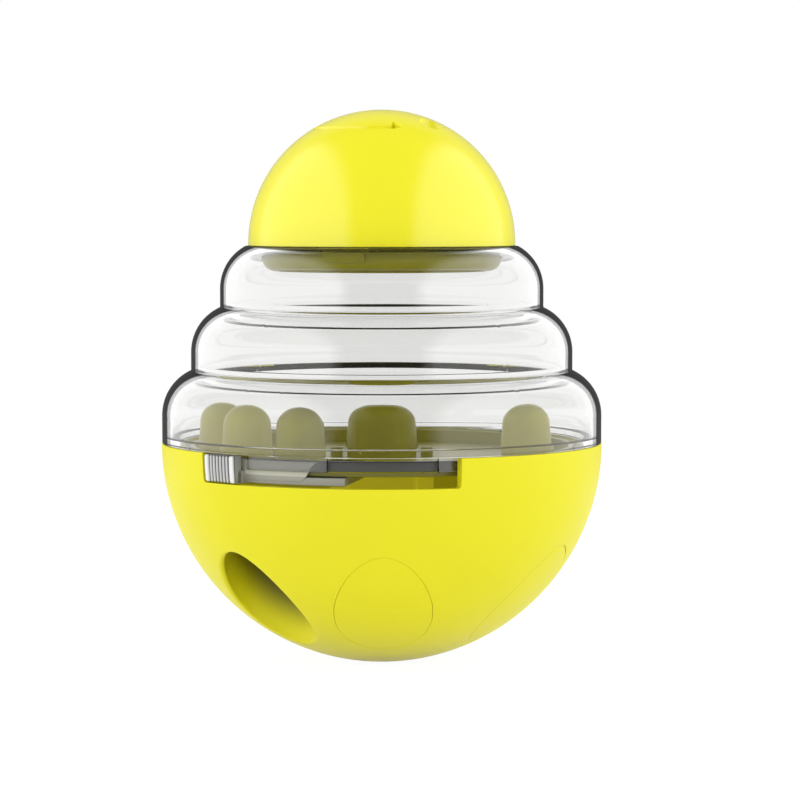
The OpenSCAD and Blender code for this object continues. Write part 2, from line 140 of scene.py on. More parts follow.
world = bpy.data.worlds.new("studio")
bpy.context.scene.world = world
sky = Finish(world)
camera_ray, clear_ray, sharp_ray = (
    sky.node("ShaderNodeLightPath", out=name)
    for name in ("Is Camera Ray", "Is Transmission Ray", "Is Singular Ray"))
bounced, turned_back = (sky.node("ShaderNodeLightPath", out=name) > 0.5
                        for name in ("Diffuse Depth", "Glossy Depth"))
view_dir = sky.node("ShaderNodeTexCoord", out="Generated")
dir_x, dir_y, dir_z = (sky.node("ShaderNodeSeparateXYZ", values={0: view_dir}, out=i)
                       for i in range(3))
side_wall = sky.step(abs(dir_x), side_from, side_full)
back_wall = sky.step(dir_y, back_from, back_full)
room = room_light + wall_light * side_wall + roof_light * dir_z
mirrored = ((gap_image + wall_image * side_wall) * (1 - back_wall)
            + (back_image + sharp_back_image * sharp_ray) * back_wall)
straight = clear_ray * (1 - turned_back)
unbounced = turned_back * mirrored + (1 - turned_back) * (straight + (1 - straight) * room)
indoors = clear_ray * (inside_light + inside_wall_light * side_wall) + (1 - clear_ray) * room
strength = camera_ray + (1 - camera_ray) * (bounced * indoors + (1 - bounced) * unbounced)
sky.node("ShaderNodeOutputWorld", values={"Surface": sky.node("ShaderNodeBackground", values={
    "Color": (1, 1, 1, 1), "Strength": strength})})

floor_half = 0.34
paper_grey, paper_glow, fibre_glow, seen_share = 0.86, 1.1, 0.02, 0.86

floor_mesh = bpy.data.meshes.new("paper_floor")
floor_mesh.from_pydata([(-floor_half, -floor_half, 0), (floor_half, -floor_half, 0),
                        (floor_half, floor_half, 0), (-floor_half, floor_half, 0)],
                       [], [(0, 1, 2, 3)])
floor = bpy.data.objects.new("paper_floor", floor_mesh)
bpy.context.scene.collection.objects.link(floor)
floor_material = bpy.data.materials.new("paper_floor_finish")
paper = Finish(floor_material)
seen_by_camera, seen_by_gloss, seen_through_clear = (
    paper.node("ShaderNodeLightPath", out=name)
    for name in ("Is Camera Ray", "Is Glossy Ray", "Is Transmission Ray"))
paper_fibre = paper.node("ShaderNodeTexNoise", values={"Scale": 800.0, "Detail": 2.0})
lit_paper = paper.node("ShaderNodeBsdfDiffuse", values={
    "Color": (paper_grey, paper_grey, paper_grey, 1)})
white_paper = paper.node("ShaderNodeEmission", values={
    "Strength": paper_glow + fibre_glow * paper_fibre})
paper.surface(paper.node("ShaderNodeMixShader", values={
    "Fac": seen_share * (seen_by_camera + seen_by_gloss + seen_through_clear),
    1: lit_paper, 2: white_paper}))
floor_mesh.materials.append(floor_material)


# Base shell: the lower half of the ball, injection moulded in yellow polypropylene, with a flat foot,
# a window in its rim, a round outlet with a rolled edge and two outlets that plugs close. Inside it
# carries the outlet's tube and the pocket for the weight.

ball_r, wall, foot_r = 50.0, 2.4, 6.0
rim_z = math.sqrt(ball_r ** 2 - foot_r ** 2)
mid_wall_r = 48.8
seat_r, seat_drop = 47.3, 6.6
window_z, window_ends, window_corner = rim_z - 6.9, (218.5, 290.0), 0.7
window_in, window_out, window_top = 43.6, 52.0, 56.0
sill = 0.35
outlet_r, outlet_ring, outlet_azimuth = 10.8, 34.2, 223
throat_r, throat_roll, throat_shift = 10.05, 0.75, 0.45
plug_azimuths, plug_edge = {"front": 270.5, "right": 332}, 0.1
hole_top = 36.0
tube_wall, tube_top, tube_lip, tube_bevel = 1.6, window_z - 10.7, 0.4, 0.12
pocket_r, pocket_floor, pocket_top, cover_r = 19.3, 6.73, 16.03, 21.1
ear_azimuth, ear_gap, ear_bore, ear_r = 301.25, 1.9, 1.3, 3.1


def turned(profile, turns=None, steps=240, whole=False):
    """Sweeps a closed outline of (radius, height) in mm round the axis.

    The outline may be a function of the azimuth. turns lists the azimuths, in degrees, and makes a
    part turn with closed ends unless whole says that it goes all the way round.
    """
    whole = whole or turns is None
    stations = turns or [360 * i / steps for i in range(steps)]
    mesh = bmesh.new()
    rings = []
    for azimuth in stations:
        points = profile(azimuth) if callable(profile) else profile
        x, y = math.cos(math.radians(azimuth)), math.sin(math.radians(azimuth))
        rings.append([mesh.verts.new((r * x * MM, r * y * MM, z * MM)) for r, z in points])
    count = len(rings[0])
    for i in range(len(rings) if whole else len(rings) - 1):
        here, there = rings[i], rings[(i + 1) % len(rings)]
        for k in range(count):
            n = (k + 1) % count
            if here[k].co.xy.length > 1e-9 or here[n].co.xy.length > 1e-9:
                mesh.faces.new((here[k], there[k], there[n], here[n]))
    if not whole:
        mesh.faces.new(rings[0])
        mesh.faces.new(rings[-1])
    bmesh.ops.remove_doubles(mesh, verts=mesh.verts, dist=2e-8)
    bmesh.ops.recalc_face_normals(mesh, faces=mesh.faces)
    return mesh


def turns_from(start, span, steps):
    """Azimuths, in degrees, spread evenly over a span."""
    return [start + span * k / steps for k in range(steps + 1)]


def rounded(corners, arc_steps=5):
    """An outline from (radius, height, rounding) corners, each corner turned into a small arc."""
    points = []
    for i, (x, y, bend) in enumerate(corners):
        here = Vector((x, y))
        if not bend:
            points.append((x, y))
            continue
        before = (Vector(corners[i - 1][:2]) - here).normalized()
        after = (Vector(corners[(i + 1) % len(corners)][:2]) - here).normalized()
        half = before.angle(after) / 2
        middle = here + (before + after).normalized() * bend / math.sin(half)
        start = here + before * bend / math.tan(half) - middle
        sweep = start.angle_signed(here + after * bend / math.tan(half) - middle)
        for k in range(arc_steps + 1):
            turn = start.copy()
            turn.rotate(Matrix.Rotation(-sweep * k / arc_steps, 2))
            points.append(tuple(middle + turn))
    return points


def arc(centre_z, radius, start, end, steps):
    """Points (radius, height) on a ball's section, between angles counted from straight down."""
    angles = [math.radians(start + (end - start) * i / steps) for i in range(steps + 1)]
    return [(radius * math.sin(a), centre_z - radius * math.cos(a)) for a in angles]


def unrounded(points):
    """Points as corners for rounded() that it leaves sharp."""
    return [(r, z, 0) for r, z in points]


def from_ends(azimuth, start, end, reach):
    """How far round, in mm, an azimuth lies from the nearer end of a part turn."""
    return min(azimuth - start, end - azimuth) * math.radians(1) * reach


def corner_cut(near, corner):
    """How far a rounded corner falls back at a distance from the end."""
    return corner - math.sqrt(corner ** 2 - (corner - near) ** 2) if near < corner else 0.0


def spot(azimuth, reach):
    return reach * math.cos(math.radians(azimuth)), reach * math.sin(math.radians(azimuth))


def ball_z(radius, x, y):
    """The height, over a place, of a ball of this radius round the rim's centre: its lower half."""
    return rim_z - math.sqrt(max(0.0, radius ** 2 - x * x - y * y))


def mid_wall(x, y):
    return ball_z(mid_wall_r, x, y)


def round_about(centre, rows, steps=96):
    """A closed body from rows of (reach, height) in mm round an upright line.

    A row may be a function of the angle round the line, and a height one of the place.
    """
    mesh = bmesh.new()
    rings = []
    for row in rows:
        ring = []
        for i in range(steps):
            angle = 2 * math.pi * i / steps
            reach, height = row(angle) if callable(row) else row
            x, y = centre[0] + reach * math.cos(angle), centre[1] + reach * math.sin(angle)
            z = height(x, y) if callable(height) else height
            ring.append(mesh.verts.new((x * MM, y * MM, z * MM)))
        rings.append(ring)
    for k in range(len(rings)):
        here, there = rings[k], rings[(k + 1) % len(rings)]
        for i in range(steps):
            j = (i + 1) % steps
            if max((ring[i].co.xy - ring[j].co.xy).length for ring in (here, there)) > 1e-9:
                mesh.faces.new((here[i], here[j], there[j], there[i]))
    bmesh.ops.remove_doubles(mesh, verts=mesh.verts, dist=2e-8)
    bmesh.ops.dissolve_degenerate(mesh, edges=mesh.edges, dist=1e-8)
    bmesh.ops.recalc_face_normals(mesh, faces=mesh.faces)
    return mesh


def hole_tool(centre, radius, lip):
    """The tool for a round hole through the ball's wall, flared so that the hole's edge is rolled."""
    roll_sink, roll_lap, flare, flare_drop, below = 0.93, 0.12, 0.6, 0.5, -3.0

    def profile(angle):
        away = (math.cos(angle), math.sin(angle))
        edge = radius + lip
        for _ in range(4):
            x, y = centre[0] + edge * away[0], centre[1] + edge * away[1]
            height = ball_z(ball_r, x, y)
            slope = (x * away[0] + y * away[1]) / (rim_z - height)
            lean = math.sqrt(1 + slope * slope)
            edge = radius + lip + lip * slope / lean
        centre_z = height + slope * (radius + lip - edge) + roll_sink * lip * lean
        last = math.atan2(-1 / lean, slope / lean) + roll_lap
        points = [(0.0, hole_top), (radius, hole_top)]
        for k in range(9):
            a = -math.pi + (last + math.pi) * k / 8
            points.append((radius + lip + lip * math.cos(a), centre_z + lip * math.sin(a)))
        reach, low = points[-1]
        return points + [(reach + flare, low + flare * slope - flare_drop), (reach + flare, below),
                         (0.0, below)]

    return round_about(centre, [lambda angle, k=k: profile(angle)[k]
                                for k in range(len(profile(0.0)))])


def made(name, mesh):
    """Puts a bmesh in the scene as an object."""
    data = bpy.data.meshes.new(name)
    mesh.to_mesh(data)
    mesh.free()
    piece = bpy.data.objects.new(name, data)
    bpy.context.scene.collection.objects.link(piece)
    return piece


def added(piece, *extra):
    """Adds closed bodies to a piece without cutting them into it."""
    joined = bmesh.new()
    joined.from_mesh(piece.data)
    for mesh in extra:
        body = bpy.data.meshes.new("extra")
        mesh.to_mesh(body)
        mesh.free()
        joined.from_mesh(body)
        bpy.data.meshes.remove(body)
    joined.to_mesh(piece.data)
    joined.free()


def carved(piece, *tools, way="DIFFERENCE"):
    """Cuts closed tools that don't touch each other out of a piece, or joins them on."""
    tool = made("tool", tools[0])
    added(tool, *tools[1:])
    change = piece.modifiers.new("cut", "BOOLEAN")
    change.operation, change.solver, change.object = way, "EXACT", tool
    depsgraph = bpy.context.evaluated_depsgraph_get()
    result = bpy.data.meshes.new_from_object(piece.evaluated_get(depsgraph))
    piece.modifiers.clear()
    old, piece.data = piece.data, result
    bpy.data.meshes.remove(old)
    bpy.data.objects.remove(tool)
    flat = bmesh.new()
    flat.from_mesh(piece.data)
    bmesh.ops.triangulate(flat, faces=flat.faces)
    flat.to_mesh(piece.data)
    flat.free()


def finished(piece, material, body, replaced):
    """Smooths a piece, gives it its finish, and puts it in the place of the solid it stands for."""
    piece.data.name = piece.name
    piece.data.materials.clear()
    piece.data.materials.append(material)
    piece.data.polygons.foreach_set("material_index", [0] * len(piece.data.polygons))
    piece.data.shade_smooth()
    piece.data.set_sharp_from_angle(angle=math.radians(32))
    even = piece.modifiers.new("even_shading", "WEIGHTED_NORMAL")
    even.keep_sharp = True
    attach(piece, body)
    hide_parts(replaced)


def new_finish(name):
    """An empty material, its node tree, and the place on the piece."""
    material = bpy.data.materials.new(name)
    skin = Finish(material)
    return material, skin, skin.node("ShaderNodeTexCoord", out="Object")


def moulded(name, colour, rough=0.3, wave=0.12, gloss=0.5, shade=None, glow=None):
    """Moulded plastic, slightly clouded and finely grained.

    shade gives (mask, colour) pairs that tint it in places: painted shade and painted light. glow is a
    mask and a colour of painted light that the plastic gives off.
    """
    material, skin, place = new_finish(name)
    cloud = skin.node("ShaderNodeTexNoise", values={"Vector": place, "Scale": 55.0, "Detail": 3.0})
    grain = skin.node("ShaderNodeTexNoise", values={"Vector": place, "Scale": 1400.0, "Detail": 2.0})
    tint = skin.mixed(cloud, [c * 0.97 for c in colour], [min(1, c * 1.025) for c in colour])
    if shade:
        for mask, other in shade(skin, place):
            tint = skin.mixed(mask, tint, other)
    bump = skin.node("ShaderNodeBump", values={
        "Strength": wave, "Distance": 0.00002, "Height": cloud + grain * 0.3})
    values = {"Base Color": tint, "Roughness": rough + grain * 0.05, "Normal": bump, "IOR": 1.5,
              "Specular IOR Level": gloss}
    if glow:
        mask, light = glow
        values["Emission Strength"] = 1.0
        values["Emission Color"] = skin.mixed(mask(skin, place), (0, 0, 0), light)
    skin.surface(skin.node("ShaderNodeBsdfPrincipled", values=values))
    return material


def depth_in_ball(skin, place):
    """How far, in mm, a place lies inside the ball."""
    away = skin.node("ShaderNodeVectorMath", {"operation": "DISTANCE"}, {
        0: place, 1: (0, 0, rim_z * MM)}, out="Value")
    return ball_r - away * 1000


def from_line(skin, place, x, y):
    """The distance, in mm, from an upright line."""
    flat = skin.node("ShaderNodeVectorMath", {"operation": "MULTIPLY"}, {0: place, 1: (1, 1, 0)})
    return skin.node("ShaderNodeVectorMath", {"operation": "DISTANCE"}, {
        0: flat, 1: (x * MM, y * MM, 0)}, out="Value") * 1000


def height_of(skin, place):
    return skin.node("ShaderNodeSeparateXYZ", values={0: place}, out=2) * 1000


outlet_spot, throat_spot = (spot(outlet_azimuth, reach)
                            for reach in (outlet_ring, outlet_ring - throat_shift))
plug_spots = {side: spot(azimuth, outlet_ring) for side, azimuth in plug_azimuths.items()}


def out_of_tube(skin, place):
    return skin.step(from_line(skin, place, *throat_spot), throat_r + 0.35, throat_r + 0.85)


def tube_painted_shade(skin, place):
    """Painted shade: the outlet's tube is painted darker toward its inner end, where shade falls."""
    deep = skin.step(depth_in_ball(skin, place), 1.5, 9.5)
    return [((1 - out_of_tube(skin, place)) * deep, srgb(104, 98, 14))]


def inner_painted_glow(skin, place):
    """A painted glow on the inside of the base, in place of light that comes through its wall."""
    return skin.step(depth_in_ball(skin, place), wall - 0.4, wall - 0.05) * out_of_tube(skin, place)


# The base's finish carries painted shade in the outlet's tube and a painted glow on its inside.
base_yellow = moulded("base_yellow_finish", srgb(238, 231, 32), rough=0.40, gloss=0.24,
                      shade=tube_painted_shade, glow=(inner_painted_glow, srgb(84, 80, 10)))
foot_angle = math.degrees(math.asin(foot_r / ball_r))
seat_angle = math.degrees(math.acos(seat_drop / (ball_r - wall)))
base_shell = made("base_shell_skin", turned(rounded(
    [(0, 0, 0)] + unrounded(arc(rim_z, ball_r, foot_angle, 88.5, 56))
    + [(ball_r, rim_z, 0.35), (seat_r, rim_z, 0.3), (seat_r, rim_z - seat_drop, 0)]
    + unrounded(arc(rim_z, ball_r - wall, seat_angle, 0, 44)))))


def window_outline(azimuth):
    low = window_z + sill + corner_cut(from_ends(azimuth, *window_ends, ball_r), window_corner)
    return [(window_in, low), (window_out, low), (window_out, window_top), (window_in, window_top)]


corner_turn, (window_start, window_end) = 0.9, window_ends
window_turns = (turns_from(window_start, corner_turn, 6)
                + [window_start + corner_turn + k for k in range(1, 70)]
                + turns_from(window_end, -corner_turn, 6)[::-1])
tube_r = outlet_r + tube_wall
carved(base_shell, round_about(outlet_spot, [
    (0.0, mid_wall), (tube_r, mid_wall), (tube_r, tube_top - tube_lip),
    (tube_r - tube_bevel, tube_top - tube_bevel), (tube_r - tube_lip, tube_top),
    (0.0, tube_top)]), way="UNION")
carved(base_shell, turned(window_outline, window_turns),
       hole_tool(throat_spot, throat_r, throat_roll),
       *(hole_tool(place, outlet_r, plug_edge) for place in plug_spots.values()))

pocket_angle = math.degrees(math.asin(cover_r / mid_wall_r))
pocket_wall = turned([(cover_r, pocket_top)] + arc(rim_z, mid_wall_r, pocket_angle, 0, 12)
                     + [(0, pocket_floor), (pocket_r, pocket_floor), (pocket_r, pocket_top)],
                     steps=120)
ear_top = pocket_top - 0.02
ears = [round_about(spot(ear_azimuth + 120 * k, cover_r + ear_gap), [
    (ear_bore, mid_wall), (ear_bore, ear_top), (ear_r, ear_top), (ear_r, mid_wall)], steps=32)
    for k in range(3)]
added(base_shell, pocket_wall, *ears)
finished(base_shell, base_yellow, "base", "base_shell")


# Outlet plugs: two discs of the same yellow plastic that follow the ball's curve. Each is pushed in
# from the inside until the flange on its back meets the wall, and leaves only a hair line outside.

plug_gap, plug_flange, flange_t = 0.07, 1.4, 1.2
plug_top = 35.5


def plug_mesh(centre):
    disc_r = outlet_r - plug_gap
    back_r = ball_r - wall
    far = math.sqrt(back_r ** 2 - (rim_z - plug_top + 0.05) ** 2)

    def flange(angle):
        along = centre[0] * math.cos(angle) + centre[1] * math.sin(angle)
        return min(outlet_r + plug_flange,
                   -along + math.sqrt(along ** 2 - outlet_ring ** 2 + far ** 2))

    def skin(radius, lift=0.0):
        return lambda x, y: min(ball_z(radius, x, y) + lift, plug_top)

    face, back, under = skin(ball_r), skin(back_r), skin(back_r - flange_t)
    return round_about(centre, [
        *((r, face) for r in (0.0, 1.5, 3.0, 4.5, 6.0, 7.5, 8.8, 9.8, disc_r - 0.2)),
        (disc_r - 0.04, skin(ball_r, 0.02)), (disc_r, skin(ball_r, 0.1)), (disc_r, back),
        lambda angle: (flange(angle), back), lambda angle: (flange(angle), under),
        *((r, under) for r in (10.0, 7.5, 5.0, 2.5, 0.0))])


for side, place in plug_spots.items():
    plug_disc = made("outlet_plug_" + side + "_skin", plug_mesh(place))
    finished(plug_disc, base_yellow, "base", "outlet_plug_" + side)


# Weight and the inside of the base: a turned steel slug in its pocket, under a moulded cover whose
# column carries the tray, held down by three screws. These keep the solids' own shapes.

def metal(name, colour, rough, brushed):
    """Zinc plated steel with fine turning marks."""
    material, skin, place = new_finish(name)
    stretch = skin.node("ShaderNodeMapping", values={"Vector": place, "Scale": (40, 40, 2200)})
    streak = skin.node("ShaderNodeTexNoise", values={"Vector": stretch, "Scale": 1.0, "Detail": 2.0})
    skin.surface(skin.node("ShaderNodeBsdfPrincipled", values={
        "Base Color": (*colour, 1), "Metallic": 1.0, "Roughness": rough + streak * brushed}))
    return material


def cover_painted_glow(skin, place):
    """A painted glow in place of light from the clear chamber: full on the column, less of it on the
    cover.
    """
    return skin.step(height_of(skin, place), 20.0, 30.0)


satin_yellow = srgb(226, 219, 44)
weight_steel = metal("weight_steel_finish", srgb(172, 174, 178), 0.28, 0.18)
screw_steel = metal("screw_steel_finish", srgb(205, 207, 210), 0.2, 0.14)
inner_yellow = moulded("inner_yellow_finish", satin_yellow)
# The cover's finish has a painted glow on its column.
cover_yellow = moulded("cover_yellow_finish", satin_yellow, glow=(cover_painted_glow, srgb(122, 116, 22)))
for name, material in (("ballast_weight", weight_steel), ("ballast_cover", cover_yellow),
                       ("cover_screws", screw_steel), ("post_screw", screw_steel),
                       ("cap_screws", screw_steel)):
    nodes[name].data.materials[0] = material


# Treat tray: a satin yellow moulding on the column, with four hollow round-topped pegs, an aperture
# over the outlet's tube, two small blocks beside the post, and a rim that is open at the front.

tray_z, tray_t = rim_z - 4.3, 1.1
floor_z = tray_z + tray_t
flange_r, tray_r, rim_t, rim_h = 44.6, 43.6, 1.2, 3.0
rim_start, rim_span, rim_fade, rim_low = 318, 293, 4.5, 0.9
peg_r, peg_h, peg_ring, taper = 5.7, 13.2, 36.3, 0.5
peg_azimuths, gate_peg_azimuth = (192, 216, 241, 331), 241
aperture_in, aperture_out, aperture_ends, aperture_corner = 13.5, 29, (223, 256), 1.5
screw_hole_r, sunk = 1.3, 0.5
hub_r, hub_bore, hub_h = 6.0, 2.6, 3.4
block_in, block_out, block_w, block_h = 8.9, 11.6, 2.4, 1.9


def thimble_outline(foot, height, z, fillet=0.9, round_share=0.72, sink=sunk):
    """Half the section of a round-topped peg that narrows upward and has a soft foot."""
    top_r = foot - taper
    bend = top_r * round_share
    points = [(0, z - sink), (foot + fillet, z - sink), (foot + fillet, z)]
    if fillet:
        points += [(foot + fillet - fillet * math.sin(math.radians(a)),
                    z + fillet - fillet * math.cos(math.radians(a))) for a in range(15, 91, 15)]
    points += [(foot - taper * s, z + fillet + (height - bend - fillet) * s) for s in (0.33, 0.66)]
    points += [(top_r - bend + bend * math.cos(math.radians(a)),
                z + height - bend + bend * math.sin(math.radians(a))) for a in range(0, 91, 6)]
    return points + [(0, z + height)]


def flange_shade(skin, place):
    """The flange's edge lies in shadow under the floor."""
    return [(1 - skin.step(height_of(skin, place), floor_z - 0.3, floor_z - 0.05),
             srgb(132, 128, 48))]


def peg_painted_glow(skin, place):
    """A painted glow on the hollow pegs, apart from the one over the gate, in place of light that
    comes through them.
    """
    from_axis = from_line(skin, place, 0, 0)
    rim_in = tray_r - rim_t
    return (skin.step(height_of(skin, place), floor_z + 0.3, floor_z + 4)
            * skin.step(from_axis, 28, 30) * (1 - skin.step(from_axis, rim_in - 0.3, rim_in - 0.1))
            * skin.step(from_line(skin, place, *spot(gate_peg_azimuth, peg_ring)),
                        peg_r + 0.4, peg_r + 1.2))


def rim_outline(azimuth):
    near = min(azimuth - rim_start, rim_start + rim_span - azimuth)
    rise = rim_h * (1 - (1 - min(1.0, near / rim_fade)) ** 2.2)
    top = max(floor_z + rise, floor_z + rim_low)
    return rounded([(tray_r - rim_t, floor_z - sunk, 0), (tray_r, floor_z - sunk, 0),
                    (tray_r, top, 0.3), (tray_r - rim_t, top, 0.3)], 4)


def aperture_outline(azimuth):
    middle = 21
    pinch = corner_cut(from_ends(azimuth, *aperture_ends, middle), aperture_corner)
    low, high = tray_z - 2, floor_z + 5
    return [(aperture_in + pinch, low), (aperture_out - pinch, low),
            (aperture_out - pinch, high), (aperture_in + pinch, high)]


def block(azimuth):
    """A small moulded block with softened edges, out along an azimuth."""
    low, high = floor_z - sunk, floor_z + block_h
    mesh = bmesh.new()
    bmesh.ops.create_cube(mesh, size=1)
    bmesh.ops.scale(mesh, verts=mesh.verts,
                    vec=((block_out - block_in) * MM, block_w * MM, (high - low) * MM))
    bmesh.ops.translate(mesh, verts=mesh.verts,
                        vec=((block_in + block_out) / 2 * MM, 0, (low + high) / 2 * MM))
    bmesh.ops.bevel(mesh, geom=mesh.edges[:], offset=0.22 * MM, segments=3, affect="EDGES",
                    profile=0.5)
    bmesh.ops.rotate(mesh, verts=mesh.verts, cent=(0, 0, 0),
                     matrix=Matrix.Rotation(math.radians(azimuth), 3, "Z"))
    return mesh


def peg(azimuth):
    mesh = turned(thimble_outline(peg_r, peg_h, floor_z, round_share=0.95), steps=72)
    x, y = spot(azimuth, peg_ring)
    bmesh.ops.translate(mesh, verts=mesh.verts, vec=(x * MM, y * MM, 0))
    return mesh


# The tray's finish has a painted shadow on the flange's edge and a painted glow on the pegs.
tray_yellow = moulded("tray_yellow_finish", satin_yellow, shade=flange_shade,
                      glow=(peg_painted_glow, srgb(92, 90, 62)))
tray = made("treat_tray_skin", turned(rounded([
    (0, tray_z, 0), (flange_r, tray_z, 0.2), (flange_r, floor_z, 0.2), (0, floor_z, 0)], 4)))
aperture_span = aperture_ends[1] - aperture_ends[0]
carved(tray, turned(aperture_outline, turns_from(aperture_ends[0], aperture_span, 40)),
       turned([(0, tray_z - 2), (screw_hole_r, tray_z - 2), (screw_hole_r, floor_z + 2),
               (0, floor_z + 2)], steps=32))
hub = turned(rounded([
    (0, floor_z - sunk, 0), (hub_r, floor_z - sunk, 0), (hub_r, floor_z + hub_h, 0.3),
    (hub_bore, floor_z + hub_h, 0.3), (hub_bore, tray_z + 1.2, 0), (0, tray_z + 1.2, 0)], 3), steps=64)
added(tray, turned(rim_outline, turns_from(rim_start, rim_span, 200)),
      *(peg(azimuth) for azimuth in peg_azimuths), hub, block(0), block(180))
finished(tray, tray_yellow, "base", "treat_tray")


# Centre post: the large round-topped post over the tray's screw. It stands on a slightly narrower
# collar and is pushed on the tray's hub.

post_r, post_bore, post_bore_h = 8.2, 6.1, 6.6
collar_h, collar_step, collar_bevel = 1.9, 0.3, 0.25
collar_r, collar_z = post_r - collar_step, floor_z + collar_h
post_outline = [(0, floor_z + post_bore_h), (post_bore, floor_z + post_bore_h),
                (post_bore, floor_z), (collar_r, floor_z),
                (collar_r, collar_z - collar_bevel), (post_r - 0.1, collar_z)]
post_outline += thimble_outline(post_r, peg_h - collar_h, collar_z, fillet=0, sink=0)[2:]
post = made("centre_post_skin", turned(post_outline, steps=128))
finished(post, inner_yellow, "base", "centre_post")


# Shutter: a grey ring that turns on the tray's flange, with a gate plate under the tray, a skirt that
# joins them, and a thumb tab with moulded ribs that stands in the window of the base.

ring_out, ring_w, ring_z, ring_h = 45.7, 1.8, floor_z + 0.1, 2.2
ring_top = ring_z + ring_h
gate_z, gate_t, gate_in, gate_start, gate_span = tray_z - 2.0, 1.8, 12, 220.5, 39.5
skirt_in, skirt_out, skirt_start, skirt_span = 45.2, 45.9, 221.5, 31
fall_start, fall_span = 247.5, 5.0
tab_start, tab_span, tab_corner, tab_gap, tab_bevel, tab_inset = 219.1, 10.8, 0.4, 0.3, 0.35, 0.03
groove_start, groove_pitch, groove_depth, groove_half = 221.1, 1.165, 0.6, 0.5
groove_azimuths = [groove_start + groove_pitch * k for k in range(7)]
arm_out, arm_h = 48.3, 2.7


def shutter_painted_light_and_shade(skin, place):
    """Painted light and shade: the ring is painted darker grey for the shade under the shell's foot,
    the skirt paler as painted light, the rib crests pale as painted highlights and their valleys dark
    as painted shade.
    """
    from_axis, height = from_line(skin, place, 0, 0), height_of(skin, place)
    depth = depth_in_ball(skin, place)
    past_ring = skin.step(from_axis, ring_out + 0.02, ring_out + 0.1)
    ring_face = skin.step(height, ring_z - 0.2, ring_z) * (1 - past_ring)
    skirt = (skin.step(height, gate_z + gate_t, gate_z + gate_t + 0.3) * past_ring
             * (1 - skin.step(from_axis, skirt_out + 0.05, skirt_out + 0.3)))
    crest = skin.step(depth, 0.62, 0.18)
    valley = skin.step(depth, 0.2, 0.5) * (1 - skin.step(depth, 0.68, 0.8))
    return [(ring_face, srgb(85, 85, 85)), (skirt, srgb(214, 214, 202)),
            (crest, srgb(236, 236, 234)), (valley, srgb(124, 124, 128))]


def skirt_outline(azimuth):
    """The skirt hangs down to the gate, and near its end rises to the ring in a soft S."""
    fall = min(1.0, max(0.0, (azimuth - fall_start) / fall_span))
    fall = fall * fall * (3 - 2 * fall)
    middle, high = gate_z + gate_t / 2, ring_top - 0.15
    low = middle + (ring_top - 0.35 - gate_z - gate_t / 2) * fall
    return [(skirt_in, low), (skirt_out, low), (skirt_out, high - 0.2), (ring_out, high),
            (skirt_in, high)]


def tab_outline(azimuth):
    nearest = min(abs(azimuth - groove) for groove in groove_azimuths)
    sink = groove_depth * math.cos(math.pi / 2 * min(1.0, nearest / groove_half)) ** 0.7
    sink += corner_cut(from_ends(azimuth, tab_start, tab_start + tab_span, ball_r), tab_corner)
    low, high = window_z + sill + tab_gap, rim_z - tab_gap
    face = [(math.sqrt(ball_r ** 2 - (z - rim_z) ** 2) - tab_inset - sink, z)
            for z in (low + tab_bevel, (low + high) / 2, high - tab_bevel)]
    return [(seat_r, low), (face[0][0] - tab_bevel, low), *face, (face[2][0] - tab_bevel, high),
            (seat_r, high)]


# The grey finish is painted darker on the ring and in the rib valleys for shade, and paler on the
# skirt and the rib crests for light.
grey_plastic = moulded("gate_grey_finish", srgb(172, 172, 168), rough=0.34, shade=shutter_painted_light_and_shade)
ring = made("shutter_gate_skin", turned(rounded([
    (ring_out - ring_w, ring_z, 0.15), (ring_out, ring_z, 0.15), (ring_out, ring_top, 0.35),
    (ring_out - ring_w, ring_top, 0.2)], 4)))
gate = turned(rounded([
    (gate_in, gate_z, 0.3), (ring_out, gate_z, 0.3), (ring_out, gate_z + gate_t, 0.3),
    (gate_in, gate_z + gate_t, 0.3)], 4), turns_from(gate_start, gate_span, 60))
arm = turned(rounded([
    (skirt_in, gate_z, 0.2), (arm_out, gate_z, 0.2), (arm_out, gate_z + arm_h, 0.2),
    (skirt_in, gate_z + arm_h, 0.2)], 3), turns_from(tab_start, tab_span, 16))
added(ring, gate, turned(skirt_outline, turns_from(skirt_start, skirt_span, 62)),
      turned(tab_outline, turns_from(tab_start, tab_span, 150)), arm)
finished(ring, grey_plastic, "shutter", "shutter_gate")


# Clear chamber: one injection-moulded shell of clear polystyrene in three round-shouldered steps. Its
# foot flange sits on the base's rim, four lugs hang inside it, and the neck's flange has two notches.

shell_r, shell_wall, shoulder = 49.9, 2.0, 11.0
tier_step, tier_rise, outer_valley, inner_valley = 6.6, 6.3, 0.4, 4.0
neck_z, neck_flange, neck_reach = 94.2, 1.4, 5.26
neck_bore, notch_bore, notch_middles, notch_half = 27.5, 29.3, (253.5, 73.5), 11
lug_in, lug_out, lug_drop, lug_starts, lug_span = 46.0, 47.0, 3.3, (51.5, 105.0, 231.5, 285.0), 24
foot_lift, foot_h = 0.03, 1.6
first_centre = rim_z + tier_rise
last_centre = neck_z - math.sqrt(shoulder ** 2 - neck_reach ** 2)
centres = [first_centre + (last_centre - first_centre) * i / 2 for i in range(3)]


def tier_side(inset, valley):
    """The outer or inner side of the three steps, from the foot up, with its valleys rounded."""
    bend = shoulder - inset
    side = []
    for i, centre in enumerate(centres):
        hub_in = shell_r - i * tier_step - inset - bend
        rise = neck_z - (neck_flange if inset else 0) - centre
        fillet_r = hub_in + bend - tier_step + valley
        stop = math.asin((fillet_r - hub_in) / (bend + valley)) if i < 2 else math.acos(rise / bend)
        for k in range(25):
            a = math.pi / 2 - (math.pi / 2 - stop) * k / 24
            side.append((hub_in + bend * math.sin(a), centre + bend * math.cos(a)))
        if i < 2:
            fillet_z = centre + (bend + valley) * math.cos(stop)
            for k in range(1, 13):
                a = stop + (math.pi / 2 - stop) * k / 12
                side.append((fillet_r - valley * math.sin(a), fillet_z - valley * math.cos(a)))
    return unrounded(side)


shell_outer, shell_inner = tier_side(0.0, outer_valley), tier_side(shell_wall, inner_valley)[::-1]


